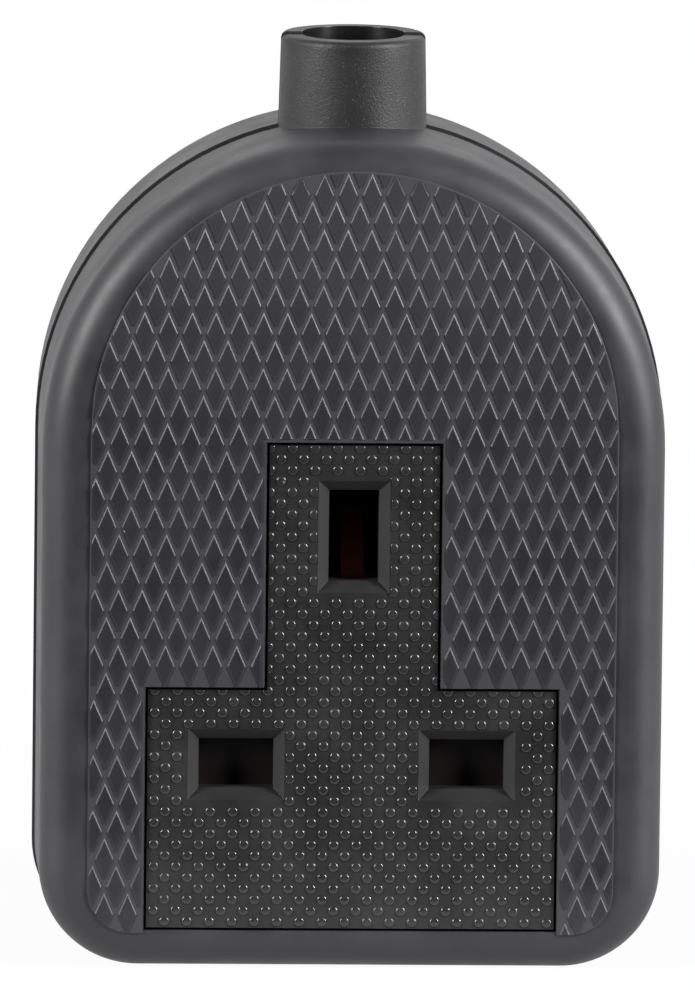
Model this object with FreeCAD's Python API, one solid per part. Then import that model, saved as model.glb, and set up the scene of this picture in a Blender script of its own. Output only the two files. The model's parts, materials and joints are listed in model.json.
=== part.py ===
import FreeCAD, Part
import math
import os

# Inline mains socket for three rectangular pins, in two arched mouldings.
# Millimetres. X runs to the right seen from the front, Y from the face to the back, Z up to the cord entry.
# The origin is the middle of the base.

# Body
body_width = 60.4
body_height = 80.6
body_corner_radius = 9.8
front_depth = 18.0
rear_depth = 16.5
front_draft = 0.3
rear_draft = 0.4
front_edge_radius = 3.4
rear_edge_radius = 4.0
side_wall = 2.6
face_wall = 3.2
back_wall = 2.6
rear_overhang = 0.25
groove_width = 1.0
groove_depth = 1.2
tongue_thickness = 1.1
tongue_reach = 2.0
tongue_clearance = 0.15

# Cord entry collar
collar_height = 8.1
collar_top_radius = 6.95
collar_root_radius = 7.15
collar_bore_radius = 4.9
collar_rim_radius = 0.6
collar_overhang = 0.03
collar_groove = 0.35

# Grip field of raised diamonds
grip_cell_width = 2.28
grip_cell_height = 5.38
grip_gap = 0.45
grip_shift = -0.92
grip_height = 0.25
grip_bevel = 0.15
grip_half_width = 25.1
grip_arch_z = 52.2
grip_bottom = 3.7
grip_corner_radius = 4.0
grip_window_rim = 0.5
grip_least_share = 0.12

# T-shaped insert
insert_base_width = 39.3
insert_base_height = 23.2
insert_base_bottom = 4.05
insert_stem_width = 16.4
insert_stem_height = 23.8
insert_recess = 0.2
insert_gap = 0.25
insert_flange = 1.2
insert_flange_depth = 2.4

# Pin slots
pin_spacing = 22.2
pin_row_rise = 15.95
earth_rise = 22.2
line_slot_width = 7.2
line_slot_height = 4.8
earth_slot_width = 4.8
earth_slot_height = 8.8
slot_bevel = 1.05

# Shutter and spring
shutter_thickness = 2.0
shutter_overlap = 0.8
shutter_clearance = 0.2
shutter_spine_width = 8.0
ramp_width = 2.2
spring_radius = 0.95
spring_wire_radius = 0.15
spring_turns = 8
spring_length = 10.4

# Contact carrier
carrier_depth = 18.6
carrier_front_wall = 1.5
carrier_side = 1.6
ear_radius = 3.3
ear_thickness = 3.0
ear_height = 12.0
ear_z = 42.0
core_wall = 1.6

# Contacts and terminals
contact_thickness = 0.7
contact_start = 10.0
contact_flare = 3.0
contact_grip = 1.9
contact_seat = 2.35
line_contact_end = 20.0
earth_contact_end = 23.4
contact_half_length = 3.2
contact_web_gap = 0.4
terminal_width = 7.0
terminal_height = 8.0
terminal_depth = 9.5
terminal_lift = 8.0
wire_hole_radius = 1.8

# Cord clamp
clamp_z = 67.0
clamp_post_x = 9.6
clamp_post_radius = 3.2
clamp_post_rise = 2.8
clamp_thickness = 3.2
clamp_end_radius = 3.2
clamp_saddle_radius = 5.2
clamp_saddle_depth = 1.2
saddle_rib_thickness = 1.8

# Screws: shank radius, head radius, head height
cover_shank_radius = 1.75
cover_head_radius = 3.0
cover_head_height = 2.2
cover_well_radius = 3.4
cover_well_depth = 6.0
cover_boss_radius = 4.0
cover_boss_inset = 8.9
cover_boss_angle = 30.0
cover_low_z = 9.5
brass_insert_radius = 2.6
brass_insert_length = 8.0
small_shank_radius = 1.5
small_head_radius = 2.7
small_head_height = 1.9
terminal_shank_radius = 1.7
terminal_head_radius = 2.6
terminal_head_height = 1.8
slot_width = 0.9
slot_depth = 1.0
screw_clearance = 0.08
hole_clearance = 0.35
seat_gap = 0.1

# Planes and centres that follow from the sizes above
half_width = body_width / 2
arch_z = body_height - half_width
collar_top = body_height + collar_height
collar_root = body_height - 8.0
parting_y = (front_depth + grip_height - rear_depth) / 2
face_y = parting_y - front_depth
back_y = parting_y + rear_depth
wall_y = face_y + face_wall
insert_y = face_y + insert_recess
carrier_y = wall_y + insert_flange_depth
carrier_back_y = carrier_y + carrier_depth
carrier_low = side_wall + 2 * tongue_clearance + tongue_thickness
cavity_half = half_width - front_draft - side_wall
tongue_outer = cavity_half - tongue_clearance
tongue_inner = tongue_outer - tongue_thickness
base_top = insert_base_bottom + insert_base_height
stem_top = base_top + insert_stem_height
pin_row_z = insert_base_bottom + pin_row_rise
earth_z = pin_row_z + earth_rise
line_x = pin_spacing / 2
wing_half = line_slot_height / 2 + shutter_overlap
travel = line_slot_height + shutter_overlap + 0.1
shutter_y = wall_y + (insert_flange_depth - shutter_thickness) / 2
shutter_foot = pin_row_z - wing_half
ramp_foot = earth_z - earth_slot_height / 2 + 0.4
ramp_top = ramp_foot + travel
spring_bottom = shutter_foot - spring_length
web_x = line_x + contact_half_length + contact_web_gap
line_terminal_z = pin_row_z + terminal_lift + 1.6
earth_web_z = earth_z + earth_slot_height / 2 + 0.2
earth_terminal_z = earth_web_z + contact_thickness
terminal_back_y = insert_y + 21.5
boss_reach = half_width - cover_boss_inset
boss_x = boss_reach * math.cos(math.radians(cover_boss_angle))
boss_z = arch_z + boss_reach * math.sin(math.radians(cover_boss_angle))
ear_x = insert_stem_width / 2 + carrier_side + ear_radius
ear_y = wall_y + ear_height
post_top_y = parting_y + clamp_post_rise


def vec(x, y, z):
    return FreeCAD.Vector(x, y, z)


def box(x0, x1, y0, y1, z0, z1):
    return Part.makeBox(x1 - x0, y1 - y0, z1 - z0, vec(x0, y0, z0))


def rod(x, z, radius, y0, y1):
    return Part.makeCylinder(radius, y1 - y0, vec(x, y0, z), vec(0, 1, 0))


def upright(x, y, radius, z0, z1):
    return Part.makeCylinder(radius, z1 - z0, vec(x, y, z0), vec(0, 0, 1))


def prism_y(points, y0, y1):
    corners = [vec(x, y0, z) for x, z in points]
    face = Part.Face(Part.makePolygon(corners + corners[:1]))
    return face.extrude(vec(0, y1 - y0, 0))


def prism_x(points, x0, x1):
    corners = [vec(x0, y, z) for y, z in points]
    face = Part.Face(Part.makePolygon(corners + corners[:1]))
    return face.extrude(vec(x1 - x0, 0, 0))


def prism_z(points, z0, z1):
    corners = [vec(x, y, z0) for x, y in points]
    face = Part.Face(Part.makePolygon(corners + corners[:1]))
    return face.extrude(vec(0, 0, z1 - z0))


def mirrored(shape):
    return shape.mirror(vec(0, 0, 0), vec(1, 0, 0))


def arch_wire(half, bottom, corner, y, centre_z):
    bend = corner * (1 - math.sqrt(0.5))

    def at(x, z):
        return vec(x, y, z)

    edges = [
        Part.LineSegment(at(corner - half, bottom), at(half - corner, bottom)).toShape(),
        Part.Arc(at(half - corner, bottom), at(half - bend, bottom + bend), at(half, bottom + corner)).toShape(),
        Part.LineSegment(at(half, bottom + corner), at(half, centre_z)).toShape(),
        Part.Arc(at(half, centre_z), at(0, centre_z + half), at(-half, centre_z)).toShape(),
        Part.LineSegment(at(-half, centre_z), at(-half, bottom + corner)).toShape(),
        Part.Arc(at(-half, bottom + corner), at(bend - half, bottom + bend), at(corner - half, bottom)).toShape(),
    ]
    return Part.Wire(edges)


def arch_prism(half, bottom, corner, y0, y1, centre_z):
    face = Part.Face(arch_wire(half, bottom, corner, y0, centre_z))
    return face.extrude(vec(0, y1 - y0, 0))


def drafted_body(half, draft, y0, y1, edge_radius):
    wide = arch_wire(half, 0, body_corner_radius, y0, arch_z)
    narrow = arch_wire(half - draft, 0, body_corner_radius - draft, y1, arch_z)
    body = Part.makeLoft([wide, narrow], True, True)
    rim = [e for e in body.Edges if all(abs(v.Point.y - y1) < 1e-6 for v in e.Vertexes)]
    return body.makeFillet(edge_radius, rim)


def collar(grow, rise):
    height = collar_top + rise - collar_root
    slope = (collar_root_radius - collar_top_radius) / (collar_top - body_height)
    foot_radius = collar_root_radius + grow + slope * (body_height - collar_root)
    cone = Part.makeCone(foot_radius, collar_top_radius + grow, height, vec(0, parting_y, collar_root))
    top = [e for e in cone.Edges if all(abs(v.Point.z - collar_top - rise) < 1e-6 for v in e.Vertexes)]
    return cone.makeFillet(collar_rim_radius, top)


def half_space(front):
    reach = 200.0
    if front:
        return box(-reach, reach, parting_y - reach, parting_y, -reach, reach)
    return box(-reach, reach, parting_y, parting_y + reach, -reach, reach)


def tee_points(grow):
    base = insert_base_width / 2 + grow
    stem = insert_stem_width / 2 + grow
    low = insert_base_bottom - grow
    step = base_top + grow
    high = stem_top + grow
    return [(-base, low), (base, low), (base, step), (stem, step),
            (stem, high), (-stem, high), (-stem, step), (-base, step)]


def cord_bore():
    return upright(0, parting_y, collar_bore_radius, arch_z, collar_top + 20)


def shadow_groove():
    ring = arch_prism(half_width + 3, -3, body_corner_radius, parting_y - groove_width, parting_y, arch_z)
    inner = half_width - groove_depth
    kept = arch_prism(inner, groove_depth, body_corner_radius - groove_depth,
                      parting_y - groove_width, parting_y, arch_z)
    ring = ring.cut(kept)
    neck = collar(-collar_groove, -collar_groove)
    sleeve = collar(3, 3).common(box(-50, 50, parting_y - collar_groove, parting_y, collar_root, collar_top + 9))
    rim_gap = box(-50, 50, parting_y - collar_groove, parting_y, collar_top - collar_groove, collar_top + 9)
    return ring.cut(collar(0, 0)).fuse([sleeve.cut(neck), rim_gap])


def inside_grip(x, z):
    if z < grip_bottom or abs(x) > grip_half_width:
        return False
    if z > grip_arch_z and x * x + (z - grip_arch_z) ** 2 > grip_half_width ** 2:
        return False
    corner_x = grip_half_width - grip_corner_radius
    corner_z = grip_bottom + grip_corner_radius
    if abs(x) > corner_x and z < corner_z:
        if math.hypot(abs(x) - corner_x, z - corner_z) > grip_corner_radius:
            return False
    rim = insert_gap + grip_window_rim
    if z < base_top + rim and abs(x) < insert_base_width / 2 + rim:
        return False
    if z < stem_top + rim and abs(x) < insert_stem_width / 2 + rim:
        return False
    return True


def diamond(x, z):
    wide = (grip_cell_width - grip_gap) / 2
    tall = wide * grip_cell_height / grip_cell_width
    shrink = 1 - grip_bevel / wide
    rings = []
    for y, share in ((face_y + 0.6, 1.0), (face_y, 1.0), (face_y - grip_height, shrink)):
        corners = [vec(x + wide * share, y, z), vec(x, y, z + tall * share),
                   vec(x - wide * share, y, z), vec(x, y, z - tall * share)]
        rings.append(Part.makePolygon(corners + corners[:1]))
    return Part.makeLoft(rings, True, True)


def grip_pads():
    field = arch_prism(grip_half_width, grip_bottom, grip_corner_radius,
                       face_y - 2, face_y + 2, grip_arch_z)
    field = field.cut(prism_y(tee_points(insert_gap + grip_window_rim), face_y - 3, face_y + 3))
    wide = (grip_cell_width - grip_gap) / 2
    tall = wide * grip_cell_height / grip_cell_width
    columns = int(grip_half_width / grip_cell_width) + 2
    rows = int((grip_arch_z + grip_half_width) / grip_cell_height * 2) + 2
    full_volume = diamond(0, 0).Volume
    whole = []
    clipped = []
    for row in range(rows):
        z = row * grip_cell_height / 2
        for column in range(-columns, columns + 1):
            x = (column + 0.5 * (row % 2)) * grip_cell_width + grip_shift
            corners = [(x + wide, z), (x - wide, z), (x, z + tall), (x, z - tall),
                       (x + wide / 2, z + tall / 2), (x + wide / 2, z - tall / 2),
                       (x - wide / 2, z + tall / 2), (x - wide / 2, z - tall / 2)]
            hits = sum(1 for corner in corners if inside_grip(corner[0], corner[1]))
            if hits == len(corners):
                whole.append(diamond(x, z))
            elif hits:
                clipped.append(diamond(x, z))
    for pad in clipped:
        part = pad.common(field)
        whole += [s for s in part.Solids if s.Volume > full_volume * grip_least_share]
    return whole


def front_shell():
    shell = drafted_body(half_width, front_draft, parting_y, face_y, front_edge_radius)
    shell = shell.fuse(collar(0, 0).common(half_space(True)))
    shell = shell.cut(arch_prism(cavity_half, side_wall, body_corner_radius - side_wall,
                                 wall_y, parting_y + 5, arch_z))
    shell = shell.fuse(front_fixings())
    shell = shell.cut(prism_y(tee_points(insert_gap), face_y - 5, wall_y + 1))
    shell = shell.cut([shadow_groove(), cord_bore()] + front_holes())
    return shell.removeSplitter()


def front_fixings():
    pieces = []
    for side in (-1, 1):
        pieces.append(rod(side * boss_x, boss_z, cover_boss_radius, wall_y - 1, parting_y - seat_gap))
        pieces.append(boss_rib(side))
        pieces.append(rod(side * clamp_post_x, clamp_z, clamp_post_radius, wall_y - 1, post_top_y))
        pieces.append(rod(side * ear_x, ear_z, ear_radius - 0.3, wall_y - 1, ear_y))
    pieces.append(saddle_rib())
    return pieces


def boss_rib(side):
    reach = cavity_half + 0.5
    angle = math.radians(cover_boss_angle)
    inner = boss_reach + cover_boss_radius - 0.5
    offset = 0.7
    points = []
    for radius, shift in ((inner, -offset), (reach, -offset), (reach, offset), (inner, offset)):
        x = radius * math.cos(angle) - shift * math.sin(angle)
        z = arch_z + radius * math.sin(angle) + shift * math.cos(angle)
        points.append((side * x, z))
    return prism_y(points, wall_y - 1, parting_y - groove_width - 3)


def saddle_rib():
    half = clamp_post_x
    rib = box(-half, half, wall_y - 1, parting_y - clamp_saddle_depth,
              clamp_z - saddle_rib_thickness / 2, clamp_z + saddle_rib_thickness / 2)
    return rib.cut(upright(0, parting_y, clamp_saddle_radius, clamp_z - 5, clamp_z + 5))


def front_holes():
    holes = []
    for side in (-1, 1):
        depth = brass_insert_length + 1
        holes.append(rod(side * boss_x, boss_z, brass_insert_radius + screw_clearance,
                         parting_y - seat_gap - depth, parting_y + 1))
        holes.append(rod(side * clamp_post_x, clamp_z, small_shank_radius + screw_clearance,
                         post_top_y - 11, post_top_y + 1))
        holes.append(rod(side * ear_x, ear_z, small_shank_radius + screw_clearance, ear_y - 9, ear_y + 1))
    return holes


def rear_cover():
    cover = drafted_body(half_width + rear_overhang, rear_draft, parting_y, back_y, rear_edge_radius)
    cover = cover.fuse(collar(collar_overhang, rear_overhang).common(half_space(False)))
    rim_half = tongue_inner
    rim_corner = body_corner_radius - side_wall - tongue_thickness
    low = side_wall + tongue_clearance
    inner_low = low + tongue_thickness
    cover = cover.cut(arch_prism(rim_half, inner_low, rim_corner, parting_y - 1, back_y - back_wall, arch_z))
    tongue = arch_prism(tongue_outer, low, body_corner_radius - low, parting_y - tongue_reach, parting_y + 1, arch_z)
    tongue = tongue.cut(arch_prism(rim_half, inner_low, rim_corner, parting_y - 9, parting_y + 9, arch_z))
    tongue = tongue.cut(upright(0, parting_y, collar_root_radius + 1, arch_z, collar_top))
    cover = cover.fuse([tongue] + cover_wells())
    cover = cover.cut([cord_bore()] + cover_holes())
    return cover.removeSplitter()


def cover_points():
    return [(-boss_x, boss_z, parting_y), (boss_x, boss_z, parting_y), (0, cover_low_z, carrier_back_y)]


def cover_wells():
    wells = []
    for x, z, y in cover_points():
        wells.append(rod(x, z, cover_well_radius + 1.3, back_y - cover_well_depth - 2, back_y - 1))
        wells.append(rod(x, z, cover_boss_radius, y + seat_gap, back_y - 1))
    return wells


def cover_holes():
    holes = []
    for x, z, y in cover_points():
        holes.append(rod(x, z, cover_shank_radius + hole_clearance, y - 1, back_y + 1))
        holes.append(rod(x, z, cover_well_radius, back_y - cover_well_depth, back_y + 1))
    return holes


def slot_cutter(x, z, width, height):
    rings = []
    for y, grow in ((insert_y - 0.5, slot_bevel + 0.5), (insert_y + slot_bevel, 0.0)):
        w = width / 2 + grow
        h = height / 2 + grow
        corners = [vec(x - w, y, z - h), vec(x + w, y, z - h), vec(x + w, y, z + h), vec(x - w, y, z + h)]
        rings.append(Part.makePolygon(corners + corners[:1]))
    mouth = Part.makeLoft(rings, True, True)
    hole = box(x - width / 2, x + width / 2, insert_y, wall_y + 1, z - height / 2, z + height / 2)
    return mouth.fuse(hole)


def socket_insert():
    insert = prism_y(tee_points(0), insert_y, wall_y)
    insert = insert.fuse(prism_y(tee_points(insert_flange), wall_y, carrier_y))
    cutters = [slot_cutter(-line_x, pin_row_z, line_slot_width, line_slot_height),
               slot_cutter(line_x, pin_row_z, line_slot_width, line_slot_height),
               slot_cutter(0, earth_z, earth_slot_width, earth_slot_height)]
    return insert.cut(cutters + [shutter_channel()]).removeSplitter()


def shutter_channel():
    wing = line_x + line_slot_width / 2 + shutter_overlap + shutter_clearance
    spine = shutter_spine_width / 2 + shutter_clearance
    low = shutter_foot - travel - shutter_clearance
    high = pin_row_z + wing_half + shutter_clearance
    deep = carrier_y + 1
    well = spring_radius + spring_wire_radius + shutter_clearance
    channel = box(-wing, wing, wall_y, deep, low, high)
    channel = channel.fuse(box(-spine, spine, wall_y, deep, low, earth_z + earth_slot_height / 2 + 0.6))
    return channel.fuse(box(-well, well, wall_y, deep, spring_bottom, low + 1))


def shutter():
    wing = line_x + line_slot_width / 2 + shutter_overlap
    back = shutter_y + shutter_thickness
    plate = box(-wing, wing, shutter_y, back, shutter_foot, pin_row_z + wing_half)
    spine = box(-shutter_spine_width / 2, shutter_spine_width / 2, shutter_y, back,
                shutter_foot, ramp_foot - 0.6)
    nose = shutter_y + 0.1
    tail = nose + travel + 0.4
    ramp = prism_x([(shutter_y, ramp_foot - 2), (nose, ramp_foot), (nose + travel, ramp_top), (tail, ramp_top),
                    (tail, ramp_top - 2.5), (back, ramp_foot - 4), (shutter_y, ramp_foot - 4)],
                   -ramp_width / 2, ramp_width / 2)
    return plate.fuse([spine, ramp]).removeSplitter()


def shutter_spring():
    pitch = (spring_length - 2 * spring_wire_radius) / spring_turns
    path = Part.makeHelix(pitch, pitch * spring_turns, spring_radius)
    ring = Part.Wire(Part.makeCircle(spring_wire_radius, vec(spring_radius, 0, 0), vec(0, 1, 0)))
    coil = Part.Wire(path).makePipeShell([ring], True, True)
    coil.translate(vec(0, wall_y + insert_flange_depth / 2, spring_bottom + spring_wire_radius))
    return coil


def carrier_points():
    base = insert_base_width / 2 + insert_flange
    middle = web_x + contact_thickness + contact_web_gap + carrier_side
    stem = insert_stem_width / 2 + insert_flange
    low = carrier_low
    step = base_top + insert_flange
    shoulder = line_terminal_z + terminal_height + carrier_side
    top = earth_terminal_z + terminal_height + carrier_side
    neck = terminal_width / 2 + seat_gap + carrier_side
    head = stem_top + insert_flange
    return [(-base, low), (base, low), (base, step), (middle, step), (middle, shoulder), (stem, shoulder),
            (stem, head), (neck, head), (neck, top), (-neck, top), (-neck, head), (-stem, head),
            (-stem, shoulder), (-middle, shoulder), (-middle, step), (-base, step)]


def contact_carrier():
    carrier = prism_y(carrier_points(), carrier_y, carrier_back_y)
    ears = []
    for side in (-1, 1):
        ear = rod(side * ear_x, ear_z, ear_radius, ear_y, ear_y + ear_thickness)
        inner = insert_stem_width / 2
        ear = ear.fuse(box(min(side * inner, side * ear_x), max(side * inner, side * ear_x), ear_y,
                           ear_y + ear_thickness, ear_z - ear_radius, ear_z + ear_radius))
        ears.append(ear)
    carrier = carrier.fuse(ears)
    holes = [rod(side * ear_x, ear_z, small_shank_radius + hole_clearance, ear_y - 9, carrier_back_y + 1)
             for side in (-1, 1)]
    wells = [rod(side * ear_x, ear_z, ear_radius, ear_y + ear_thickness, carrier_back_y + 1) for side in (-1, 1)]
    posts = [rod(side * ear_x, ear_z, ear_radius, carrier_y - 1, ear_y) for side in (-1, 1)]
    return carrier.cut(carrier_chambers() + holes + wells + posts).removeSplitter()


def carrier_chambers():
    floor = carrier_y + carrier_front_wall
    deep = carrier_back_y + 1
    cuts = []
    leaf = contact_flare + contact_thickness + 0.4
    for side in (-1, 1):
        near = line_x - contact_half_length - 0.4
        far = web_x + contact_thickness + contact_web_gap
        left = min(side * near, side * far)
        right = max(side * near, side * far)
        cuts.append(box(left, right, floor, deep, pin_row_z - leaf, pin_row_z + leaf))
        cuts.append(box(side * line_x - line_slot_width / 2, side * line_x + line_slot_width / 2,
                        carrier_y - 1, floor + 1, pin_row_z - line_slot_height / 2,
                        pin_row_z + line_slot_height / 2))
        tail_near = web_x - contact_web_gap
        left = min(side * tail_near, side * far)
        right = max(side * tail_near, side * far)
        cuts.append(box(left, right, floor, deep, pin_row_z, line_terminal_z + 1))
        room = web_x - terminal_width - seat_gap
        left = min(side * room, side * far)
        right = max(side * room, side * far)
        cuts.append(box(left, right, terminal_back_y - terminal_depth, deep, line_terminal_z - seat_gap,
                        line_terminal_z + terminal_height + carrier_side + 1))
        core = core_wall + cover_boss_radius + 0.6
        outer = insert_base_width / 2 + insert_flange - core_wall
        left = min(side * core, side * outer)
        right = max(side * core, side * outer)
        cuts.append(box(left, right, floor, deep, carrier_low + core_wall,
                        pin_row_z - leaf - core_wall))
    half = contact_flare + contact_thickness + 0.4
    cuts.append(box(-half, half, floor, deep, earth_z - earth_slot_height / 2, earth_terminal_z))
    cuts.append(box(-earth_slot_width / 2, earth_slot_width / 2, carrier_y - 1, floor + 1,
                    earth_z - earth_slot_height / 2, earth_z + earth_slot_height / 2))
    room = terminal_width / 2 + seat_gap
    cuts.append(box(-room, room, terminal_back_y - terminal_depth, deep, earth_terminal_z - 1,
                    earth_terminal_z + terminal_height + carrier_side + 1))
    slit = ramp_width / 2 + shutter_clearance
    low = ramp_foot - 4 - travel - shutter_clearance
    cuts.append(box(-slit, slit, carrier_y - 1, shutter_y + travel + 0.9, low, earth_z))
    hole = brass_insert_radius + screw_clearance
    cuts.append(rod(0, cover_low_z, hole, carrier_back_y - brass_insert_length - 1, deep))
    return cuts


def leaf_points(end):
    start = insert_y + contact_start
    inner = [(start, contact_flare), (start + 2.8, contact_grip), (start + 5.5, contact_seat),
             (insert_y + end, contact_seat)]
    outer = [(y, v + contact_thickness) for y, v in reversed(inner)]
    return inner + outer


def line_contact():
    points = leaf_points(line_contact_end)
    upper = prism_x([(y, pin_row_z + v) for y, v in points], line_x - contact_half_length, web_x)
    lower = prism_x([(y, pin_row_z - v) for y, v in points], line_x - contact_half_length, web_x)
    front = insert_y + contact_start + 5.5
    back = insert_y + line_contact_end
    edge = contact_seat + contact_thickness
    web = box(web_x, web_x + contact_thickness, front, back, pin_row_z - edge,
              line_terminal_z + terminal_height - 1)
    return web.fuse([upper, lower]).removeSplitter()


def earth_contact():
    points = leaf_points(earth_contact_end)
    low = earth_z - contact_half_length
    right = prism_z([(v, y) for y, v in points], low, earth_web_z)
    left = prism_z([(-v, y) for y, v in points], low, earth_web_z)
    edge = contact_seat + contact_thickness
    web = box(-edge, edge, insert_y + contact_start + 5.5, insert_y + earth_contact_end,
              earth_web_z, earth_web_z + contact_thickness)
    return web.fuse([left, right]).removeSplitter()


def terminal(x0, z0):
    front = terminal_back_y - terminal_depth
    block = box(x0, x0 + terminal_width, front, terminal_back_y, z0, z0 + terminal_height)
    block = block.makeFillet(0.5, [e for e in block.Edges if abs(e.tangentAt(e.FirstParameter).y) > 0.9])
    middle = x0 + terminal_width / 2
    wire_y = front + wire_hole_radius + 1.6
    block = block.cut(upright(middle, wire_y, wire_hole_radius, z0 + 1.2, z0 + terminal_height + 1))
    return block.cut(rod(middle, z0 + terminal_height / 2, terminal_shank_radius + screw_clearance,
                         wire_y, terminal_back_y + 1))


def screw(x, z, seat_y, shank_radius, length, head_radius, head_height, crossed):
    body = rod(x, z, shank_radius, seat_y - length, seat_y)
    tip = [e for e in body.Edges if all(abs(v.Point.y - seat_y + length) < 1e-6 for v in e.Vertexes)]
    body = body.makeChamfer(shank_radius * 0.3, tip)
    head = rod(x, z, head_radius, seat_y, seat_y + head_height)
    crown = [e for e in head.Edges if all(abs(v.Point.y - seat_y - head_height) < 1e-6 for v in e.Vertexes)]
    head = head.makeChamfer(head_height * 0.25, crown)
    top = seat_y + head_height
    reach = head_radius + 1
    cuts = [box(x - reach, x + reach, top - slot_depth, top + 1, z - slot_width / 2, z + slot_width / 2)]
    if crossed:
        arm = head_radius * 0.62
        cuts = [box(x - arm, x + arm, top - slot_depth, top + 1, z - slot_width / 2, z + slot_width / 2),
                box(x - slot_width / 2, x + slot_width / 2, top - slot_depth, top + 1, z - arm, z + arm)]
    return body.fuse(head).cut(cuts).removeSplitter()


def cover_screws():
    seat = back_y - cover_well_depth
    screws = []
    for x, z, y in cover_points():
        length = seat - y + seat_gap + brass_insert_length - 1
        screws.append(screw(x, z, seat, cover_shank_radius, length, cover_head_radius, cover_head_height, True))
    return Part.makeCompound(screws)


def cover_inserts():
    rings = []
    for x, z, y in cover_points():
        top = y - seat_gap if y == parting_y else y
        ring = rod(x, z, brass_insert_radius, top - brass_insert_length, top)
        rings.append(ring.cut(rod(x, z, cover_shank_radius + screw_clearance, top - 20, top + 1)))
    return Part.makeCompound(rings)


def terminal_screws():
    spots = [(-web_x + terminal_width / 2, line_terminal_z), (web_x - terminal_width / 2, line_terminal_z),
             (0, earth_terminal_z)]
    length = terminal_depth - 2 * wire_hole_radius - 1.6
    return Part.makeCompound([screw(x, z + terminal_height / 2, terminal_back_y + 1.0, terminal_shank_radius,
                                    length, terminal_head_radius, terminal_head_height, False)
                              for x, z in spots])


def carrier_screws():
    seat = ear_y + ear_thickness
    return Part.makeCompound([screw(side * ear_x, ear_z, seat, small_shank_radius, ear_thickness + 8,
                                    small_head_radius, small_head_height, True) for side in (-1, 1)])


def cord_clamp():
    low = post_top_y
    high = low + clamp_thickness
    ends = [rod(side * clamp_post_x, clamp_z, clamp_end_radius, low, high) for side in (-1, 1)]
    bar = box(-clamp_post_x, clamp_post_x, low, high, clamp_z - clamp_end_radius, clamp_z + clamp_end_radius)
    bar = bar.fuse(ends).removeSplitter()
    bar = bar.cut(upright(0, low + clamp_saddle_depth - clamp_saddle_radius, clamp_saddle_radius,
                          clamp_z - 9, clamp_z + 9))
    tooth = box(-clamp_saddle_radius * 0.55, clamp_saddle_radius * 0.55, low - 0.2, low + clamp_thickness - 0.5,
                clamp_z - 0.8, clamp_z + 0.8)
    holes = [rod(side * clamp_post_x, clamp_z, small_shank_radius + hole_clearance, low - 1, high + 1)
             for side in (-1, 1)]
    return bar.fuse(tooth).cut(holes).removeSplitter()


def cord_clamp_screws():
    seat = post_top_y + clamp_thickness
    return Part.makeCompound([screw(side * clamp_post_x, clamp_z, seat, small_shank_radius, clamp_thickness + 10,
                                    small_head_radius, small_head_height, True) for side in (-1, 1)])


def build():
    shell = front_shell()
    shell = shell.fuse(grip_pads()).removeSplitter()
    live = line_contact()
    live_block = terminal(web_x - terminal_width, line_terminal_z)
    nodes = {
        "front_shell": shell,
        "rear_cover": rear_cover(),
        "socket_insert": socket_insert(),
        "shutter": shutter(),
        "shutter_spring": shutter_spring(),
        "contact_carrier": contact_carrier(),
        "carrier_screws": carrier_screws(),
        "live_contact": live,
        "neutral_contact": mirrored(live),
        "earth_contact": earth_contact(),
        "live_terminal": live_block,
        "neutral_terminal": mirrored(live_block),
        "earth_terminal": terminal(-terminal_width / 2, earth_terminal_z),
        "terminal_screws": terminal_screws(),
        "cord_clamp": cord_clamp(),
        "cord_clamp_screws": cord_clamp_screws(),
        "cover_screws": cover_screws(),
        "cover_inserts": cover_inserts(),
    }
    os.makedirs("parts", exist_ok=True)
    for name, shape in nodes.items():
        print(name, len(shape.Solids), shape.isValid(), round(shape.Volume, 1))
        shape.exportStep("parts/" + name + ".step")


build()
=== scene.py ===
import bpy
import bmesh
import json
import math
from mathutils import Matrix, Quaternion, Vector, geometry


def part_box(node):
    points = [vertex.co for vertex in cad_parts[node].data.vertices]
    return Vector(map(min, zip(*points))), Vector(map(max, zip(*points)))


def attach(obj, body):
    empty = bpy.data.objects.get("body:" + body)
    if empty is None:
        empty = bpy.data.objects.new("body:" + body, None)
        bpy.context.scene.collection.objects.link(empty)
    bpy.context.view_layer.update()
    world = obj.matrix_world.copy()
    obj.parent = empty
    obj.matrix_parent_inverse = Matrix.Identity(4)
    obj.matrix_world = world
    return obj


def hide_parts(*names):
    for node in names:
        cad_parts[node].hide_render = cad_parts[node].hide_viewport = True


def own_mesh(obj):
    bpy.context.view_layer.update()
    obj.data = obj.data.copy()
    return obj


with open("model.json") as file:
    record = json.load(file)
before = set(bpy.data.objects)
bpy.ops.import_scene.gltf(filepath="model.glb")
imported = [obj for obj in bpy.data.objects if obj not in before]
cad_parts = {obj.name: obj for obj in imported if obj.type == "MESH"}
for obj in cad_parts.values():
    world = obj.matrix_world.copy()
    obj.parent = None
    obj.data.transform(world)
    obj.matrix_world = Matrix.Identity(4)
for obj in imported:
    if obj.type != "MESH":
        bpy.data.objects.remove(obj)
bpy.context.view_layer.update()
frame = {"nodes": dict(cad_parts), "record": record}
nodes = frame["nodes"]
scene = bpy.context.scene
mm = 0.001
print("frame loaded", sorted(nodes))


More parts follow.
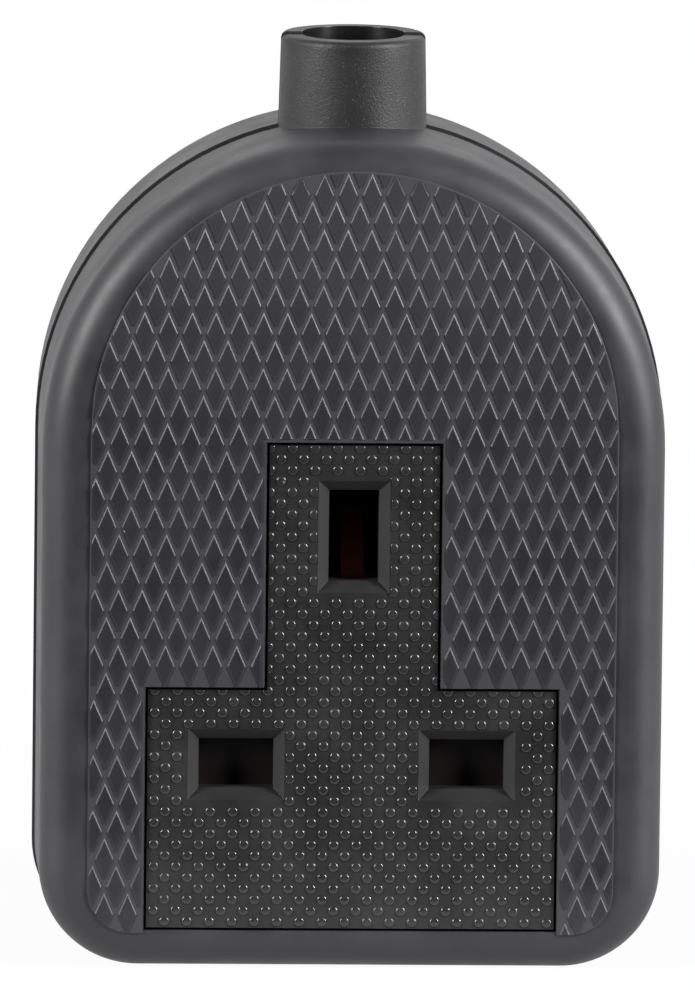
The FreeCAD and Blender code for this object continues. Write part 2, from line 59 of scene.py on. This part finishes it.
# One socket of a shader tree; arithmetic on it adds Math nodes.
class Feed:
    def __init__(self, tree, socket=None):
        self.tree = tree
        self.socket = socket

    def make(self, kind, settings=None, values=None, out=0):
        node = self.tree.nodes.new(kind)
        for name, value in (settings or {}).items():
            setattr(node, name, value)
        for name, value in (values or {}).items():
            if isinstance(value, Feed):
                self.tree.links.new(value.socket, node.inputs[name])
            else:
                node.inputs[name].default_value = value
        return Feed(self.tree, node.outputs[out] if node.outputs else None)

    def math(self, operation, a, b):
        return self.make("ShaderNodeMath", {"operation": operation}, {0: a, 1: b})

    def __add__(self, other):
        return self.math("ADD", self, other)

    def __radd__(self, other):
        return self.math("ADD", other, self)

    def __sub__(self, other):
        return self.math("SUBTRACT", self, other)

    def __rsub__(self, other):
        return self.math("SUBTRACT", other, self)

    def __mul__(self, other):
        return self.math("MULTIPLY", self, other)

    def __rmul__(self, other):
        return self.math("MULTIPLY", other, self)

    def above(self, level):
        return self.math("GREATER_THAN", self, level)

    def orElse(self, other):
        return self.math("MAXIMUM", self, other)

    def ramp(self, low, high):
        return self.make("ShaderNodeMapRange", {"interpolation_type": "SMOOTHSTEP"},
                         {"Value": self, "From Min": low, "From Max": high})

    def blend(self, a, b):
        return self.make("ShaderNodeMix", {"data_type": "RGBA"},
                         {"Factor": self, "A": a, "B": b}, "Result")

    def part(self, axis):
        return self.make("ShaderNodeSeparateXYZ", None, {0: self}, axis)

    def noise(self, size, detail=2.0, rough=0.5):
        return self.make("ShaderNodeTexNoise", None,
                         {"Vector": self, "Scale": 1 / size, "Detail": detail, "Roughness": rough})

    def bump(self, strength, distance, normal=None):
        values = {"Height": self, "Strength": strength, "Distance": distance}
        if normal:
            values["Normal"] = normal
        return self.make("ShaderNodeBump", None, values)


def newMaterial(name):
    material = bpy.data.materials.new(name)
    material.use_nodes = True
    material.node_tree.nodes.clear()
    return material, Feed(material.node_tree)


def finishMaterial(material, start, values):
    shader = start.make("ShaderNodeBsdfPrincipled", None, values)
    start.make("ShaderNodeOutputMaterial", None, {"Surface": shader})
    return material


def place(start):
    return start.make("ShaderNodeTexCoord", None, None, "Object")


def grey(level, tint=(1.0, 1.0, 1.0)):
    return tuple(level * t for t in tint) + (1.0,)


# Share is how many of the cells hold a speck.
dustValues = {"cell": 1.7 * mm, "speckFrom": 0.04, "speckTo": 0.09, "colour": grey(0.3), "dull": 0.3}


def dust(spot, share):
    v = dustValues
    cells = {"Vector": spot, "Scale": 1 / v["cell"]}
    near = spot.make("ShaderNodeTexVoronoi", None, cells, "Distance")
    pick = spot.make("ShaderNodeTexVoronoi", None, cells, "Color").part(0)
    return (1 - near.ramp(v["speckFrom"], v["speckTo"])) * pick.above(1 - share)


# Moulded plastic with a fine spark grain, faint smears and a little dust; where given, also painted light:
# glints on the collar, shade in the bore and slot bevels, a paler net and top on the grip pads.
grainValues = {"smear": 6 * mm, "smearShare": 0.65, "fineShare": 0.35, "mottleFrom": 0.32, "mottleTo": 0.68,
               "dullFrom": 0.3, "dullTo": 0.7, "strength": 0.55, "collarStrength": 0.8, "edgeSamples": 6}
shellValues = {"dark": 0.0185, "light": 0.0275, "tint": (0.98, 0.96, 1.1), "gloss": 0.46, "dull": 0.58,
               "grain": 0.11 * mm, "grainDepth": 0.010 * mm, "edge": 0.09 * mm, "dust": 0.012,
               # the pale collar specks are painted glints
               "collarFrom": 80.0 * mm, "collarTo": 80.9 * mm, "collar": 0.008, "paintedGlint": 0.12,
               "paintedGlintFrom": 0.6, "paintedGlintTo": 0.76, "collarGrain": 0.19 * mm, "collarDepth": 0.06 * mm,
               # the dark bore colour is painted shade
               "boreY": 0.875 * mm, "boreRadius": 4.93 * mm, "paintedBoreShade": 0.006, "boreGloss": 0.26}
padPaint = {"dark": 0.018, "light": 0.026, "tint": (0.98, 0.96, 1.1), "gloss": 0.24, "dull": 0.34,
            "grain": 0.2 * mm, "grainDepth": 0.006 * mm, "dust": 0.02,
            # the paler net colour is painted light, for light caught between the pads
            "paintedNetLight": grey(0.034, (0.98, 0.96, 1.1)), "grooveDull": 0.24,
            # the pads' paler top is painted light, as if lit from above
            "paintedTopLightFrom": 48.0 * mm, "paintedTopLightTo": 76.0 * mm, "paintedTopLightShare": 0.5,
            "paintedTopLight": grey(0.052, (0.98, 0.96, 1.1))}
insertValues = {"dark": 0.013, "light": 0.021, "tint": (0.99, 1.02, 0.99), "gloss": 0.3, "dull": 0.4,
                "grain": 0.14 * mm, "grainDepth": 0.008 * mm, "edge": 0.04 * mm, "dust": 0.02,
                # the darker slot bevel colour is painted shade
                "deepFrom": -16.86 * mm, "deepDull": 0.22, "deep": 0.006}
# painted sheen: the dots are a little paler than the insert face around them, standing for their glints;
# they are also glossier
dotPaintedSheen = dict(insertValues, dark=0.016, light=0.026, gloss=0.12, dull=0.36, specular=0.6)


def mouldedPlastic(name, v):
    g = grainValues
    material, start = newMaterial(name)
    spot = place(start)
    smear = spot.noise(g["smear"], 4.0, 0.6)
    fine = spot.noise(v["grain"], 2.0, 0.6)
    speck = dust(spot, v["dust"])
    mottle = (smear * g["smearShare"] + fine * g["fineShare"]).ramp(g["mottleFrom"], g["mottleTo"])
    body = mottle.blend(grey(v["dark"], v["tint"]), grey(v["light"], v["tint"]))
    colour = speck.blend(body, dustValues["colour"])
    dull = smear.ramp(g["dullFrom"], g["dullTo"]) * (v["dull"] - v["gloss"]) + v["gloss"]
    dull = dull + speck * dustValues["dull"]
    if "paintedNetLight" in v:  # painted light: paler between the pads, for light caught in the grooves
        rise = start.make("ShaderNodeAttribute", {"attribute_name": "rise"}, None, "Fac")
        low = 1 - rise
        colour = low.blend(colour, v["paintedNetLight"])
        dull = dull + low * v["grooveDull"]
    if "paintedTopLight" in v:  # painted light: paler towards the arch, as if lit from above
        paintedTopLight = spot.part(2).ramp(v["paintedTopLightFrom"], v["paintedTopLightTo"]) * v["paintedTopLightShare"]
        colour = paintedTopLight.blend(colour, v["paintedTopLight"])
    if "deep" in v:  # painted shade: darker on the slot bevels behind the face, which are also rougher
        deep = spot.part(1).above(v["deepFrom"])
        colour = deep.blend(colour, grey(v["deep"]))
        dull = dull + deep * v["deepDull"]
    rounded = None
    if "edge" in v:
        rounded = start.make("ShaderNodeBevel", {"samples": g["edgeSamples"]}, {"Radius": v["edge"]})
    normal = fine.bump(g["strength"], v["grainDepth"], rounded)
    if "collar" in v:  # coarser grain outside with pale specks that are painted glints; painted shade with dark gloss in the bore
        collar = spot.part(2).ramp(v["collarFrom"], v["collarTo"])
        coarse = spot.noise(v["collarGrain"], 3.0, 0.65)
        # painted glints: pale specks on the collar's coarse grain
        paintedGlint = coarse.ramp(v["paintedGlintFrom"], v["paintedGlintTo"]).blend(grey(v["collar"]), grey(v["paintedGlint"]))
        colour = collar.blend(colour, paintedGlint)
        # painted shade: the bore is darkened, and made glossier
        away = spot.part(1) - v["boreY"]
        paintedBoreShade = 1 - (spot.part(0) * spot.part(0) + away * away).above(v["boreRadius"] ** 2)
        colour = paintedBoreShade.blend(colour, grey(v["paintedBoreShade"]))
        dull = dull + paintedBoreShade * (v["boreGloss"] - dull)
        normal = (coarse * collar * (1 - paintedBoreShade)).bump(g["collarStrength"], v["collarDepth"], normal)
    return finishMaterial(material, start, {"Base Color": colour, "Roughness": dull, "Normal": normal,
                                            "Specular IOR Level": v.get("specular", 0.5)})


# Dull plastic of the sliding shutter, whose earth-pin ramp is redder and lighter as painted light while the
# rest is darkened to near-black as painted shade, and of the pieces inside.
dullValues = {"smear": 3 * mm, "grain": 0.3 * mm, "grainDepth": 0.01 * mm, "strength": 0.4,
              "gloss": 0.55, "spread": 0.2, "specular": 0.25}
# painted shade: the shutter's dark and light tones are near-black for the shade inside the slots; the ramp
# colour is painted light
shutterValues = {"dark": (0.003, 0.001, 0.0008, 1.0), "light": (0.005, 0.0015, 0.001, 1.0),
                 "rampFrom": 34.5 * mm, "ramp": (0.13, 0.024, 0.015, 1.0)}
innerValues = {"dark": grey(0.02), "light": grey(0.035)}


def dullPlastic(name, v):
    d = dullValues
    material, start = newMaterial(name)
    spot = place(start)
    smear = spot.noise(d["smear"], 3.0)
    fine = spot.noise(d["grain"])
    colour = smear.ramp(0.3, 0.7).blend(v["dark"], v["light"])
    if "ramp" in v:
        # painted light: a lighter red on the earth-pin ramp above rampFrom
        colour = spot.part(2).above(v["rampFrom"]).blend(colour, v["ramp"])
    return finishMaterial(material, start, {
        "Base Color": colour,
        "Roughness": smear * d["spread"] + d["gloss"],
        "Specular IOR Level": d["specular"],
        "Normal": fine.bump(d["strength"], d["grainDepth"])})


# Metals: rolled or turned, with drawn streaks and tarnish.
metalValues = {"stretch": (1.0, 12.0, 1.0), "streak": 1.2 * mm, "streakDull": 0.2, "streakDepth": 0.01 * mm,
               "strength": 0.15, "stain": 4 * mm, "stainFrom": 0.45, "stainTo": 0.75, "stainDull": 0.15}
brassValues = {"bright": (0.78, 0.55, 0.24, 1.0), "tarnish": (0.4, 0.25, 0.1, 1.0), "gloss": 0.22}
steelValues = {"bright": (0.62, 0.63, 0.64, 1.0), "tarnish": (0.36, 0.36, 0.37, 1.0), "gloss": 0.26}


def metal(name, v):
    m = metalValues
    material, start = newMaterial(name)
    spot = place(start)
    stretched = start.make("ShaderNodeMapping", None, {"Vector": spot, "Scale": m["stretch"]})
    streak = stretched.noise(m["streak"], 3.0)
    stain = spot.noise(m["stain"], 4.0, 0.65).ramp(m["stainFrom"], m["stainTo"])
    return finishMaterial(material, start, {
        "Base Color": stain.blend(v["bright"], v["tarnish"]),
        "Metallic": 1.0,
        "Roughness": streak * m["streakDull"] + stain * m["stainDull"] + v["gloss"],
        "Normal": streak.bump(m["strength"], m["streakDepth"])})


shellPlastic = mouldedPlastic("shellPlastic", shellValues)
padPlastic = mouldedPlastic("padPlastic", padPaint)
insertPlastic = mouldedPlastic("insertPlastic", insertValues)
dotPlastic = mouldedPlastic("dotPlastic", dotPaintedSheen)
innerPlastic = dullPlastic("innerPlastic", innerValues)
shutterPlastic = dullPlastic("shutterPlastic", shutterValues)
brass = metal("brass", brassValues)
steel = metal("steel", steelValues)
finishes = {"shell_plastic": shellPlastic, "insert_plastic": insertPlastic,
            "shutter_plastic": shutterPlastic, "carrier_plastic": innerPlastic,
            "clamp_plastic": innerPlastic, "contact_brass": brass, "terminal_brass": brass,
            "screw_steel": steel, "spring_steel": steel}
for entry in frame["record"]["subparts"]:
    for holder in nodes[entry["node"]].material_slots:
        holder.material = finishes[entry["material_slot"]]
print("materials ready")


def meshPiece(name, verts, faces, material):
    mesh = bpy.data.meshes.new(name)
    mesh.from_pydata(verts, [], faces)
    mesh.validate()
    mesh.materials.append(material)
    mesh.shade_smooth()
    piece = bpy.data.objects.new(name, mesh)
    scene.collection.objects.link(piece)
    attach(piece, "housing")
    return piece


# Low round buttons in staggered rows over the T-shaped face, trimmed at its edges and at the slot mouths.
# The profile goes from the foot inwards: (share of the radius, share of the height).
dotValues = {"pitch": 2.17 * mm, "row": 1.073 * mm, "shift": -0.25, "firstRow": 4.65 * mm, "columns": 11,
             "radius": 0.5 * mm, "height": 0.17 * mm, "sides": 20,
             "profile": [(1.0, -0.1), (0.95, 0.32), (0.86, 0.61), (0.73, 0.83), (0.55, 0.95), (0.3, 1.0)],
             "trim": 0.03 * mm, "leastInside": 0.02 * mm, "slotRim": 0.12 * mm}
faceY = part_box("socket_insert")[0].y
teeBase = (-19.65 * mm, 4.05 * mm, 19.65 * mm, 27.25 * mm)
teeStem = (-8.2 * mm, 4.05 * mm, 8.2 * mm, 51.05 * mm)
slotMouths = [(-15.75 * mm, 16.55 * mm, -6.45 * mm, 23.45 * mm),
              (6.45 * mm, 16.55 * mm, 15.75 * mm, 23.45 * mm),
              (-3.45 * mm, 36.75 * mm, 3.45 * mm, 47.65 * mm)]


def within(box, x, z, margin=0.0):
    return box[0] + margin <= x <= box[2] - margin and box[1] + margin <= z <= box[3] - margin


def trimmed(x, z, middleX, middleZ):
    v = dotValues
    home = [tee for tee in (teeBase, teeStem) if within(tee, middleX, middleZ)]
    if not any(within(tee, x, z, v["trim"]) for tee in (teeBase, teeStem)):
        x = min(max(x, home[0][0] + v["trim"]), home[0][2] - v["trim"])
        z = min(max(z, home[0][1] + v["trim"]), home[0][3] - v["trim"])
    for x0, z0, x1, z1 in slotMouths:
        rim = v["slotRim"]
        if not within((x0, z0, x1, z1), x, z, -rim):
            continue
        if z0 - rim < middleZ < z1 + rim:
            x = x0 - rim if middleX < x0 else x1 + rim
        else:
            z = z0 - rim if middleZ < z0 else z1 + rim
    return x, z


def insertDots():
    v = dotValues
    profile = v["profile"]
    sides = v["sides"]
    verts = []
    faces = []
    for row in range(int((teeStem[3] - v["firstRow"]) / v["row"]) + 1):
        middleZ = v["firstRow"] + row * v["row"]
        for column in range(-v["columns"], v["columns"] + 1):
            middleX = (column + v["shift"] + 0.5 * (row % 2)) * v["pitch"]
            if not any(within(tee, middleX, middleZ, v["leastInside"]) for tee in (teeBase, teeStem)):
                continue
            if any(within(mouth, middleX, middleZ, -2 * v["slotRim"]) for mouth in slotMouths):
                continue
            first = len(verts)
            for share, lift in profile:
                for side in range(sides):
                    a = 2 * math.pi * side / sides
                    x, z = trimmed(middleX + v["radius"] * share * math.cos(a),
                                   middleZ + v["radius"] * share * math.sin(a), middleX, middleZ)
                    verts.append((x, faceY - v["height"] * lift, z))
            for ring in range(len(profile) - 1):
                for side in range(sides):
                    a = first + ring * sides + side
                    b = first + ring * sides + (side + 1) % sides
                    faces.append((a, b, b + sides, a + sides))
            faces.append(tuple(range(len(verts) - sides, len(verts))))
    return meshPiece("insertDots", verts, faces, dotPlastic)


insertDots()
print("insert dots ready")


# Raised diamonds with a slope on their upper sides and upright lower sides, over a net painted paler as
# painted light.
# A ring is in mm: outset of an upper side, a lower side and a side cut by the border, then lift;
# last comes its share of pad paint, the rest being the paler net colour, painted light.
padValues = {"rings": [(0.135, 0.1, 0.1, 0.13, 0.0), (0.12, 0.095, 0.1, 0.162, 0.0),
                       (0.1, 0.092, 0.1, 0.17, 0.1), (0.015, 0.088, 0.098, 0.243, 0.3),
                       (0.0, 0.075, 0.09, 0.2503, 0.6), (-0.16, -0.1, -0.05, 0.2515, 1.0)],
             "lift": 0.25 * mm, "sharp": 26.0, "sideways": 0.919, "sameSide": 0.02, "shortSide": 0.5 * mm,
             "netLift": 0.156 * mm, "netRoot": -0.01 * mm, "netStep": 0.25 * mm, "netRim": 0.16 * mm,
             "netSlope": 0.1 * mm, "halfWidth": 25.1 * mm, "archZ": 52.2 * mm, "bottom": 3.7 * mm,
             "corner": 4.0 * mm, "window": 0.32 * mm, "close": 0.01 * mm, "straight": 0.02,
             "parallel": 0.15, "longReach": 9}


def padOutlines():
    mesh = nodes["front_shell"].data
    top = min(vertex.co.y for vertex in mesh.vertices)
    spots = {}
    uses = {}
    for face in mesh.polygons:
        if any(mesh.vertices[i].co.y > top + padValues["close"] for i in face.vertices):
            continue
        ring = []
        for i in face.vertices:
            co = mesh.vertices[i].co
            key = (round(co.x * 1e6), round(co.z * 1e6))
            spots[key] = (co.x, co.z)
            ring.append(key)
        for a, b in zip(ring, ring[1:] + ring[:1]):
            if (b, a) in uses:
                del uses[(b, a)]
            else:
                uses[(a, b)] = True
    following = {a: b for a, b in uses}
    loops = []
    while following:
        start, here = following.popitem()
        loop = [start]
        while here != start:
            loop.append(here)
            here = following.pop(here)
        loops.append([spots[key] for key in loop])
    return loops


def plainCorners(loop):
    kept = []
    for i, here in enumerate(loop):
        before = Vector(loop[i - 1])
        after = Vector(loop[(i + 1) % len(loop)])
        turn = (Vector(here) - before).angle_signed(after - Vector(here), 0.0)
        if abs(turn) > padValues["straight"]:
            kept.append(Vector(here))
    return kept


def withoutShortSides(loop):
    kept = list(loop)
    i = 0
    while i < len(kept) and len(kept) > 3:
        here = kept[i]
        after = kept[(i + 1) % len(kept)]
        if (after - here).length < padValues["shortSide"]:
            before = kept[i - 1]
            beyond = kept[(i + 2) % len(kept)]
            far = padValues["longReach"]
            tip = geometry.intersect_line_line_2d(before, before + (here - before) * far,
                                                  beyond, beyond + (after - beyond) * far)
            if tip:
                kept[i] = tip
                kept.pop((i + 1) % len(kept))
                continue
        i += 1
    return kept


def netLow(x):
    v = padValues
    if abs(x) < teeStem[2] + v["window"]:
        return teeStem[3] + v["window"]
    if abs(x) < teeBase[2] + v["window"]:
        return teeBase[3] + v["window"]
    past = abs(x) - (v["halfWidth"] - v["corner"])
    reach = v["corner"] + v["netRim"]
    return v["bottom"] + v["corner"] - math.sqrt(max(reach ** 2 - max(past, 0) ** 2, 0))


def netHigh(x):
    v = padValues
    return v["archZ"] + math.sqrt(max((v["halfWidth"] + v["netRim"]) ** 2 - x ** 2, 0))


def outset(loop, upper, lower, border):
    area = sum(a.x * b.y - b.x * a.y for a, b in zip(loop, loop[1:] + loop[:1]))
    sign = 1 if area > 0 else -1
    sides = []
    for here, after in zip(loop, loop[1:] + loop[:1]):
        along = (after - here).normalized()
        normal = Vector((along.y, -along.x)) * sign
        reach = lower if normal.y < 0 else upper
        if abs(abs(normal.x) - padValues["sideways"]) > padValues["sameSide"]:
            reach = border
        sides.append((normal, reach))
    moved = []
    for i, here in enumerate(loop):
        one, reachOne = sides[i - 1]
        two, reachTwo = sides[i]
        cross = one.x * two.y - one.y * two.x
        if abs(cross) < padValues["parallel"]:
            moved.append(here + (one + two).normalized() * (reachOne + reachTwo) / 2)
        else:
            shift = Vector((reachOne * two.y - reachTwo * one.y, reachTwo * one.x - reachOne * two.x))
            moved.append(here + shift / cross)
    return moved


def netFoot(x, z):
    v = padValues
    side = math.copysign(v["halfWidth"] - v["corner"], x)
    out = Vector((x - side, z - v["bottom"] - v["corner"]))
    if z >= v["archZ"]:
        out = Vector((x, z - v["archZ"]))
    elif abs(x) < teeBase[2] + v["window"] + v["close"]:
        out = Vector((0, 0))
    elif z > v["bottom"] + v["corner"]:
        out = Vector((x, 0))
    elif abs(x) < abs(side):
        out = Vector((0, -1))
    return Vector((x, z)) + out.normalized() * v["netSlope"]


def gripNet(verts, faces, faceLevel):
    v = padValues
    reach = v["halfWidth"] + v["netRim"]
    steps = [teeStem[2] + v["window"], teeBase[2] + v["window"]]
    count = int(reach / v["netStep"])
    even = [reach * i / count for i in range(-count, count + 1)]
    across = sorted(even + steps + [-step for step in steps])
    tiny = 0.001 * mm  # looks just inside a strip, so that a step of the window stays upright
    lows = []
    highs = []
    for a, b in zip(across, across[1:]):
        lows += [(a, netLow(a + tiny)), (b, netLow(b - tiny))]
        highs += [(a, netHigh(a)), (b, netHigh(b))]
    rim = highs + lows[::-1]
    count = len(rim)
    first = len(verts)
    verts.extend((x, faceLevel - v["netLift"], z) for x, z in rim)
    verts.extend((foot.x, faceLevel - v["netRoot"], foot.y) for foot in (netFoot(x, z) for x, z in rim))
    for i in range(0, len(highs), 2):
        under = count - 1 - i
        faces.append((first + i, first + i + 1, first + under - 1, first + under))
    for i in range(count):
        j = (i + 1) % count
        if rim[i] != rim[j]:
            faces.append((first + j, first + i, first + count + i, first + count + j))


def gripPads():
    v = padValues
    faceLevel = min(vertex.co.y for vertex in nodes["front_shell"].data.vertices) + v["lift"]
    verts = []
    faces = []
    gripNet(verts, faces, faceLevel)
    paints = [0.0] * len(verts)
    for loop in padOutlines():
        corners = withoutShortSides(plainCorners(loop))
        count = len(corners)
        first = len(verts)
        for upper, lower, border, lift, paint in v["rings"]:
            for spot in outset(corners, upper * mm, lower * mm, border * mm):
                low = netLow(spot.x)
                high = netHigh(spot.x)
                verts.append((spot.x, faceLevel - lift * mm, min(max(spot.y, low), high)))
                paints.append(paint)
        for ring in range(len(v["rings"]) - 1):
            for side in range(count):
                a = first + ring * count + side
                b = first + ring * count + (side + 1) % count
                faces.append((a, b, b + count, a + count))
        faces.append(tuple(range(len(verts) - count, len(verts))))
    piece = meshPiece("gripPads", verts, faces, padPlastic)
    rise = piece.data.attributes.new("rise", "FLOAT", "POINT")
    rise.data.foreach_set("value", paints)
    bm = bmesh.new()
    bm.from_mesh(piece.data)
    bmesh.ops.recalc_face_normals(bm, faces=bm.faces)
    bm.to_mesh(piece.data)
    bm.free()
    piece.data.set_sharp_from_angle(angle=math.radians(v["sharp"]))
    return piece


gripPads()
print("grip pads ready")


# Round-wire coil under the shutter.
springValues = {"turns": 8, "steps": 26, "sides": 10, "wire": 0.15 * mm, "travel": 5.6 * mm}


def shutterCoil():
    v = springValues
    low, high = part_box("shutter_spring")
    middle = (low + high) / 2
    radius = (high.y - low.y) / 2 - v["wire"]
    rise = high.z - low.z - 2 * v["wire"]
    count = v["turns"] * v["steps"]
    verts = []
    faces = []
    for step in range(count + 1):
        turn = 2 * math.pi * step / v["steps"]
        out = Vector((math.cos(turn), math.sin(turn), 0))
        centre = Vector((middle.x, middle.y, low.z + v["wire"] + rise * step / count)) + out * radius
        for side in range(v["sides"]):
            a = 2 * math.pi * side / v["sides"]
            verts.append(centre + out * v["wire"] * math.cos(a) + Vector((0, 0, v["wire"] * math.sin(a))))
    for step in range(count):
        for side in range(v["sides"]):
            a = step * v["sides"] + side
            b = step * v["sides"] + (side + 1) % v["sides"]
            faces.append((a, b, b + v["sides"], a + v["sides"]))
    faces.append(tuple(range(v["sides"])))
    faces.append(tuple(range(count * v["sides"], (count + 1) * v["sides"])))
    piece = meshPiece("shutterCoil", verts, faces, steel)
    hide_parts("shutter_spring")
    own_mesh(piece)
    return piece


shutterCoil()
print("spring ready")


# Pale floor from just before the object to far behind it, with a soft shadow near the object.
# It is white to the camera and in reflections.
floorValues = {"level": -0.05 * mm, "front": -0.05, "back": 4.0, "side": 3.0, "dark": grey(0.52),
               "pale": grey(0.58), "mottle": 0.02, "nearWhite": 0.95, "shadowEnd": 0.1, "whiteFrom": 0.35}


def rays(start, kind):
    return start.make("ShaderNodeLightPath", None, None, kind)


def mirrorRays(start):
    return rays(start, "Is Glossy Ray").orElse(rays(start, "Is Transmission Ray"))


def paleFloor():
    v = floorValues
    material, start = newMaterial("paleFloor")
    spot = place(start)
    tone = spot.noise(v["mottle"], 3.0).blend(v["dark"], v["pale"])
    away = start.make("ShaderNodeVectorMath", {"operation": "LENGTH"}, {0: spot}, "Value")
    matt = start.make("ShaderNodeBsdfDiffuse", None, {"Color": tone})
    glow = start.make("ShaderNodeEmission", None, {"Color": grey(1.0), "Strength": 1.0})
    seen = rays(start, "Is Camera Ray").orElse(mirrorRays(start))
    share = seen * (away.ramp(v["shadowEnd"], v["whiteFrom"]) * (1 - v["nearWhite"]) + v["nearWhite"])
    surface = start.make("ShaderNodeMixShader", None, {0: share, 1: matt, 2: glow})
    start.make("ShaderNodeOutputMaterial", None, {"Surface": surface})
    mesh = bpy.data.meshes.new("paleFloor")
    corners = [(-v["side"], v["front"], v["level"]), (v["side"], v["front"], v["level"]),
               (v["side"], v["back"], v["level"]), (-v["side"], v["back"], v["level"])]
    mesh.from_pydata(corners, [], [(0, 1, 2, 3)])
    mesh.materials.append(material)
    floor = bpy.data.objects.new("paleFloor", mesh)
    scene.collection.objects.link(floor)


paleFloor()


# Two small lamps high at the sides for the glints, tall side boxes for the long soft edges,
# one box over the back.
lampAim = (0, 0, 45.0 * mm)
lampValues = [
    {"name": "leftKey", "at": (-0.57, -0.3, 0.32), "size": (0.14, 0.36), "watts": 6.6},
    {"name": "rightKey", "at": (0.57, -0.3, 0.32), "size": (0.14, 0.36), "watts": 9.0},
    {"name": "leftBox", "at": (-0.6, 0.08, 0.25), "size": (0.3, 0.6), "watts": 0.3},
    {"name": "rightBox", "at": (0.6, 0.08, 0.25), "size": (0.3, 0.6), "watts": 0.45},
    {"name": "backBox", "at": (0.0, 0.5, 0.5), "size": (1.2, 0.5), "watts": 0.8},
]
worldValues = {"front": 0.06, "behind": 0.5, "white": 1.0, "turnFrom": -0.2, "turnTo": 0.6,
               "mirrorFrom": 0.4, "mirrorTo": 0.95}


def softLights():
    for v in lampValues:
        lamp = bpy.data.lights.new(v["name"], "AREA")
        lamp.shape = "RECTANGLE"
        lamp.size, lamp.size_y = v["size"]
        lamp.energy = v["watts"]
        holder = bpy.data.objects.new(v["name"], lamp)
        holder.location = v["at"]
        holder.rotation_mode = "QUATERNION"
        holder.rotation_quaternion = (Vector(lampAim) - Vector(v["at"])).to_track_quat("-Z", "Y")
        scene.collection.objects.link(holder)


def paleWorld():
    v = worldValues
    world = bpy.data.worlds.new("paleWorld")
    world.use_nodes = True
    world.node_tree.nodes.clear()
    start = Feed(world.node_tree)
    heading = start.make("ShaderNodeTexCoord", None, None, "Generated").part(1)
    around = heading.ramp(v["turnFrom"], v["turnTo"]) * (v["behind"] - v["front"]) + v["front"]
    backdrop = heading.ramp(v["mirrorFrom"], v["mirrorTo"])
    seen = rays(start, "Is Camera Ray").orElse(mirrorRays(start) * backdrop)
    level = seen * v["white"] + (1 - seen) * around
    glow = start.make("ShaderNodeBackground", None, {"Color": grey(1.0), "Strength": level})
    start.make("ShaderNodeOutputWorld", None, {"Surface": glow})
    scene.world = world


softLights()
paleWorld()
print("floor and light ready")


# Long lens, a little above and to the left of the face.
cameraValues = {"azimuth": -2.0, "elevation": 8.3, "roll": 0.65, "distance": 1.5, "tall": 1000,
                "pixelsPerMm": 10.42, "target": (-0.68 * mm, -17.1 * mm, 45.8 * mm), "sensor": 36.0,
                "near": 0.05, "far": 20.0}


def longCamera():
    v = cameraValues
    a = math.radians(v["azimuth"])
    e = math.radians(v["elevation"])
    back = Vector((math.sin(a) * math.cos(e), -math.cos(a) * math.cos(e), math.sin(e)))
    data = bpy.data.cameras.new("longCamera")
    data.sensor_width = v["sensor"]
    data.lens = v["sensor"] * v["distance"] / (v["tall"] / v["pixelsPerMm"] * mm)
    data.clip_start = v["near"]
    data.clip_end = v["far"]
    camera = bpy.data.objects.new("longCamera", data)
    camera.location = Vector(v["target"]) + back * v["distance"]
    camera.rotation_mode = "QUATERNION"
    roll = Quaternion((0, 0, 1), math.radians(v["roll"]))
    camera.rotation_quaternion = (-back).to_track_quat("-Z", "Y") @ roll
    scene.collection.objects.link(camera)
    scene.camera = camera


longCamera()
scene.view_settings.view_transform = "Standard"
bpy.context.view_layer.update()
print("camera ready")
